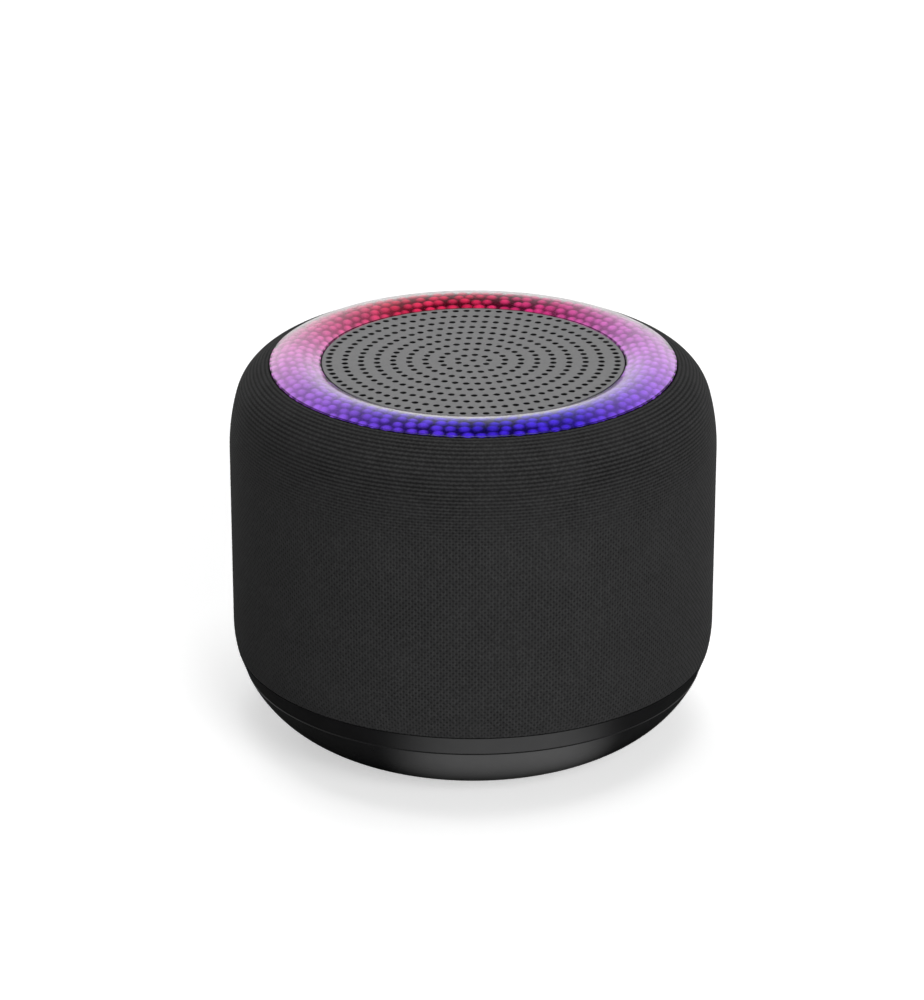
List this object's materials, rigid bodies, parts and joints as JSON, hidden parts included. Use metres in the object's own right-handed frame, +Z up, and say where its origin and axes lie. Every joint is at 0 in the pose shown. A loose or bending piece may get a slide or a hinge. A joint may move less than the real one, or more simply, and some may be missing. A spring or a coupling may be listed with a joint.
{
  "type": "portable wireless speaker",
  "caption": "Round tabletop wireless speaker: knitted fabric body, domed lit diffuser ring round a perforated top grille, bowl-shaped base on a rubber ring, and push buttons at the rear.",
  "frame": {"origin": "centre of the round footprint on the table, at the underside of the rubber ring", "axes": "+Z up along the body's axis, +Y towards the control panel at the rear, -Y the front"},
  "size_m": [0.08, 0.0806, 0.0652],
  "materials": {
    "knit": "open knit, charcoal black",
    "shell": "satin black",
    "rubber": "matt",
    "grille": "matt grey paint",
    "cloth": "matt",
    "diffuser": "milky, moulded with lens bumps",
    "white_plastic": "matt white",
    "circuit_board": "green solder mask",
    "lamp": "white package",
    "inner_plastic": "matt black",
    "basket_steel": "black powder coat",
    "spider_cloth": "varnished cloth",
    "paper_cone": "treated black paper",
    "coil_paper": "brown paper",
    "copper": "enamelled copper wire",
    "plated_steel": "bright plated",
    "ferrite": "sintered ferrite",
    "brass": "bright",
    "cell": "blue shrink wrap",
    "foam": "closed-cell foam",
    "chip": "moulded black",
    "can": "bright can",
    "clear": "clear",
    "panel": "fine texture",
    "button": "soft touch",
    "switch_plastic": "satin",
    "screw": "zinc plated",
    "red_lead": "insulated wire",
    "black_lead": "insulated wire",
    "white_lead": "insulated wire"
  },
  "bodies": {
    "housing": {"fabric_sleeve": "knit", "barrel": "shell", "bottom_cover": "shell", "bottom_screws": "screw", "foot_ring": "rubber", "grille_disc": "grille", "dust_cloth": "cloth", "diffuser_ring": "diffuser", "reflector_ring": "white_plastic", "lamp_board": "circuit_board", "lamps": "lamp", "top_baffle": "inner_plastic", "baffle_screws": "screw", "driver_basket": "basket_steel", "driver_screws": "screw", "surround": "rubber", "spider": "spider_cloth", "pole_plate": "plated_steel", "ring_magnet": "ferrite", "yoke": "plated_steel", "driver_terminals": "brass", "inner_frame": "inner_plastic", "frame_screws": "screw", "battery_cell": "cell", "battery_pads": "foam", "battery_guard_board": "circuit_board", "main_board": "circuit_board", "board_screws": "screw", "radio_chip": "chip", "amplifier_chip": "chip", "power_coils": "ferrite", "capacitors": "can", "lead_sockets": "white_plastic", "usb_shell": "plated_steel", "usb_tongue": "chip", "status_lamp": "lamp", "light_pipe": "clear", "microphone": "brass", "switch_bodies": "chip", "control_panel": "panel", "battery_leads": "red_lead", "driver_leads": "black_lead", "lamp_leads": "white_lead"},
    "cone_assembly": {"cone": "paper_cone", "dust_cap": "paper_cone", "coil_former": "coil_paper", "coil_winding": "copper"},
    "power_button": {"button_power": "button", "switch_plunger_power": "switch_plastic"},
    "volume_down_button": {"button_volume_down": "button", "switch_plunger_volume_down": "switch_plastic"},
    "play_button": {"button_play": "button", "switch_plunger_play": "switch_plastic"},
    "volume_up_button": {"button_volume_up": "button", "switch_plunger_volume_up": "switch_plastic"},
    "light_button": {"button_light": "button", "switch_plunger_light": "switch_plastic"}
  },
  "joints": [
    {"name": "cone_travel", "type": "slide", "parent": "housing", "child": "cone_assembly", "axis": [0, 0, 1], "range_m": [-0.0012, 0.0012], "stiffness_N_per_m": 1000, "deforming": ["surround", "spider"]},
    {"name": "power_press", "type": "slide", "parent": "housing", "child": "power_button", "axis": [0, -1, 0], "range_m": [0, 0.00035], "stiffness_N_per_m": 2500},
    {"name": "volume_down_press", "type": "slide", "parent": "housing", "child": "volume_down_button", "axis": [0, -1, 0], "range_m": [0, 0.00035], "stiffness_N_per_m": 2500},
    {"name": "play_press", "type": "slide", "parent": "housing", "child": "play_button", "axis": [0, -1, 0], "range_m": [0, 0.00035], "stiffness_N_per_m": 2500},
    {"name": "volume_up_press", "type": "slide", "parent": "housing", "child": "volume_up_button", "axis": [0, -1, 0], "range_m": [0, 0.00035], "stiffness_N_per_m": 2500},
    {"name": "light_press", "type": "slide", "parent": "housing", "child": "light_button", "axis": [0, -1, 0], "range_m": [0, 0.00035], "stiffness_N_per_m": 2500}
  ]
}
